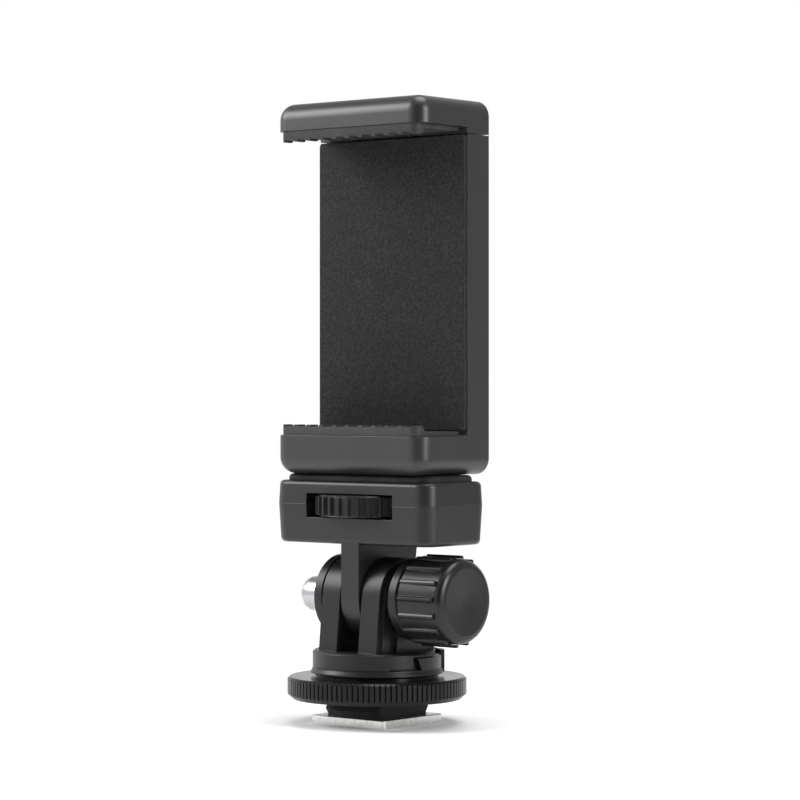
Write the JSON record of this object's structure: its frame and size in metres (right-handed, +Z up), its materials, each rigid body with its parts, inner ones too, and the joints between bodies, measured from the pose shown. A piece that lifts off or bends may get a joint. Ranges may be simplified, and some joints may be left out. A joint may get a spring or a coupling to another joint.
{
  "type": "tripod phone mount adapter",
  "caption": "Sprung phone clamp on a swivelling, tilting head with a side knob, a thumbwheel and a lock wheel over a square shoe foot.",
  "frame": {"origin": "centre of the underside of the square foot plate", "axes": "+Z up along the foot's and the clamp's axis, +X towards the tilt knob, -Y the side that the held phone faces"},
  "size_m": [0.0419, 0.0348, 0.1208],
  "materials": {
    "plate_steel": "brushed, nickel plated",
    "screw_steel": "black oxide",
    "bolt_steel": "bright nickel plated",
    "brass": "machined",
    "stem_plastic": "satin moulded",
    "wheel_plastic": "semi-gloss moulded",
    "yoke_plastic": "satin moulded",
    "ring_plastic": "satin moulded",
    "knob_plastic": "satin moulded",
    "head_plastic": "satin moulded",
    "clamp_plastic": "satin moulded",
    "slider_plastic": "satin moulded",
    "pad_rubber": "matt moulded",
    "foam": "matt closed-cell foam"
  },
  "bodies": {
    "base": {"shoe_plate": "plate_steel", "foot_screws": "screw_steel", "foot_stem": "stem_plastic", "pan_screw": "screw_steel"},
    "wheel": {"lock_wheel": "wheel_plastic"},
    "swivel": {"yoke": "yoke_plastic", "pivot_bolt": "bolt_steel", "knob_collar": "yoke_plastic"},
    "ring": {"lock_ring": "ring_plastic"},
    "knob": {"tilt_knob": "knob_plastic", "knob_nut": "brass"},
    "head": {"head_body": "head_plastic", "head_cap": "head_plastic", "head_screws": "screw_steel", "head_pad": "pad_rubber"},
    "thumb": {"thumbwheel": "wheel_plastic", "mount_screw": "bolt_steel"},
    "clamp": {"clamp_body": "clamp_plastic", "thread_insert": "brass", "back_cover": "clamp_plastic", "cover_screws": "screw_steel", "spring_pins": "bolt_steel", "clamp_springs": "bolt_steel", "lower_jaw_pad": "pad_rubber", "back_pad": "foam"},
    "jaw": {"upper_jaw": "clamp_plastic", "upper_jaw_pad": "pad_rubber", "jaw_slider": "slider_plastic", "slider_screws": "screw_steel"}
  },
  "joints": [
    {"name": "lock_wheel_turn", "type": "hinge", "parent": "base", "child": "wheel", "pos_m": [0, 0, 0.007], "axis": [0, 0, 1], "continuous": true},
    {"name": "yoke_pan", "type": "hinge", "parent": "base", "child": "swivel", "pos_m": [0, 0, 0.011], "axis": [0, 0, 1], "continuous": true},
    {"name": "lock_ring_turn", "type": "hinge", "parent": "swivel", "child": "ring", "pos_m": [0, 0, 0.0104], "axis": [0, 0, 1], "range_deg": [-4.5, 0]},
    {"name": "knob_turn", "type": "hinge", "parent": "swivel", "child": "knob", "pos_m": [0, 0, 0.02445], "axis": [1, 0, 0], "continuous": true},
    {"name": "head_tilt", "type": "hinge", "parent": "swivel", "child": "head", "pos_m": [0, 0, 0.02445], "axis": [1, 0, 0], "range_deg": [-75, 90]},
    {"name": "thumbwheel_turn", "type": "hinge", "parent": "head", "child": "thumb", "pos_m": [0, 0, 0.0423], "axis": [0, 0, 1], "continuous": true},
    {"name": "clamp_swivel", "type": "hinge", "parent": "head", "child": "clamp", "pos_m": [0, 0, 0.0484], "axis": [0, 0, 1], "continuous": true},
    {"name": "jaw_slide", "type": "slide", "parent": "clamp", "child": "jaw", "axis": [0, 0, 1], "range_m": [0, 0.029], "stiffness_N_per_m": 200, "springref_m": -0.02, "deforming": ["clamp_springs"]}
  ]
}
